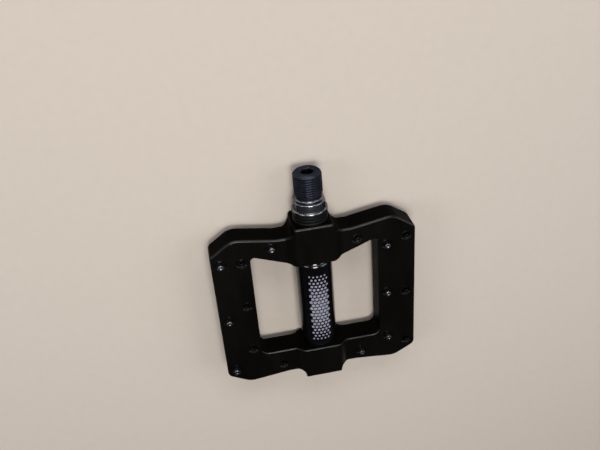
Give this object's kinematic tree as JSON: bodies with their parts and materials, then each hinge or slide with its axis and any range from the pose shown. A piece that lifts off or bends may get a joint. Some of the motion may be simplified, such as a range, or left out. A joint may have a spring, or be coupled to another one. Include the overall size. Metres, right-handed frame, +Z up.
{
  "type": "flat bicycle pedal",
  "caption": "Flat bicycle pedal: moulded platform with an open middle and grip pins on both faces, a round barrel, and a threaded spindle on a bush and sealed bearings.",
  "frame": {"origin": "on the spindle's axis, at the shoulder that seats on the crank", "axes": "+Y along the spindle into the crank, +Z up with the pedal lying flat, X across the rails"},
  "size_m": [0.105, 0.122, 0.02],
  "materials": {
    "platform_plastic": "satin black reinforced nylon with a fine moulded grain",
    "barrel_finish": null,
    "spindle_steel": "dark polished steel",
    "seal_rubber": "black ribbed rubber",
    "bush_polymer": "self-lubricating polymer",
    "bearing_steel": "ground bearing steel",
    "cage_polymer": "natural nylon cage",
    "shield_rubber": "rubber-faced bearing shield",
    "plated_steel": "zinc-plated steel",
    "cap_plastic": "smooth black plastic",
    "pin_steel": "blackened steel"
  },
  "bodies": {
    "spindle_group": {"spindle": "spindle_steel", "inboard_inner_race": "bearing_steel", "outboard_inner_race": "bearing_steel", "axle_washer": "plated_steel", "axle_nut": "plated_steel"},
    "platform_group": {"platform_body": "platform_plastic", "barrel_sleeve": "barrel_finish", "dust_seal": "seal_rubber", "plain_bush": "bush_polymer", "inboard_outer_race": "bearing_steel", "inboard_shields": "shield_rubber", "outboard_outer_race": "bearing_steel", "outboard_shields": "shield_rubber", "end_cap": "cap_plastic", "end_cap_ring": "seal_rubber", "upper_grip_pins": "pin_steel", "lower_grip_pins": "pin_steel"},
    "inboard_ball_set": {"inboard_balls": "bearing_steel", "inboard_cage": "cage_polymer"},
    "outboard_ball_set": {"outboard_balls": "bearing_steel", "outboard_cage": "cage_polymer"}
  },
  "joints": [
    {"name": "platform_spin", "type": "hinge", "parent": "spindle_group", "child": "platform_group", "pos_m": [0, -0.06, 0], "axis": [0, 1, 0], "continuous": true},
    {"name": "inboard_balls_spin", "type": "hinge", "parent": "spindle_group", "child": "inboard_ball_set", "pos_m": [0, -0.0365, 0], "axis": [0, 1, 0], "continuous": true},
    {"name": "outboard_balls_spin", "type": "hinge", "parent": "spindle_group", "child": "outboard_ball_set", "pos_m": [0, -0.095, 0], "axis": [0, 1, 0], "continuous": true}
  ],
  "couplings": [
    {"joint": "inboard_balls_spin", "follows": "platform_spin", "ratio": 0.5632},
    {"joint": "outboard_balls_spin", "follows": "platform_spin", "ratio": 0.6133}
  ]
}
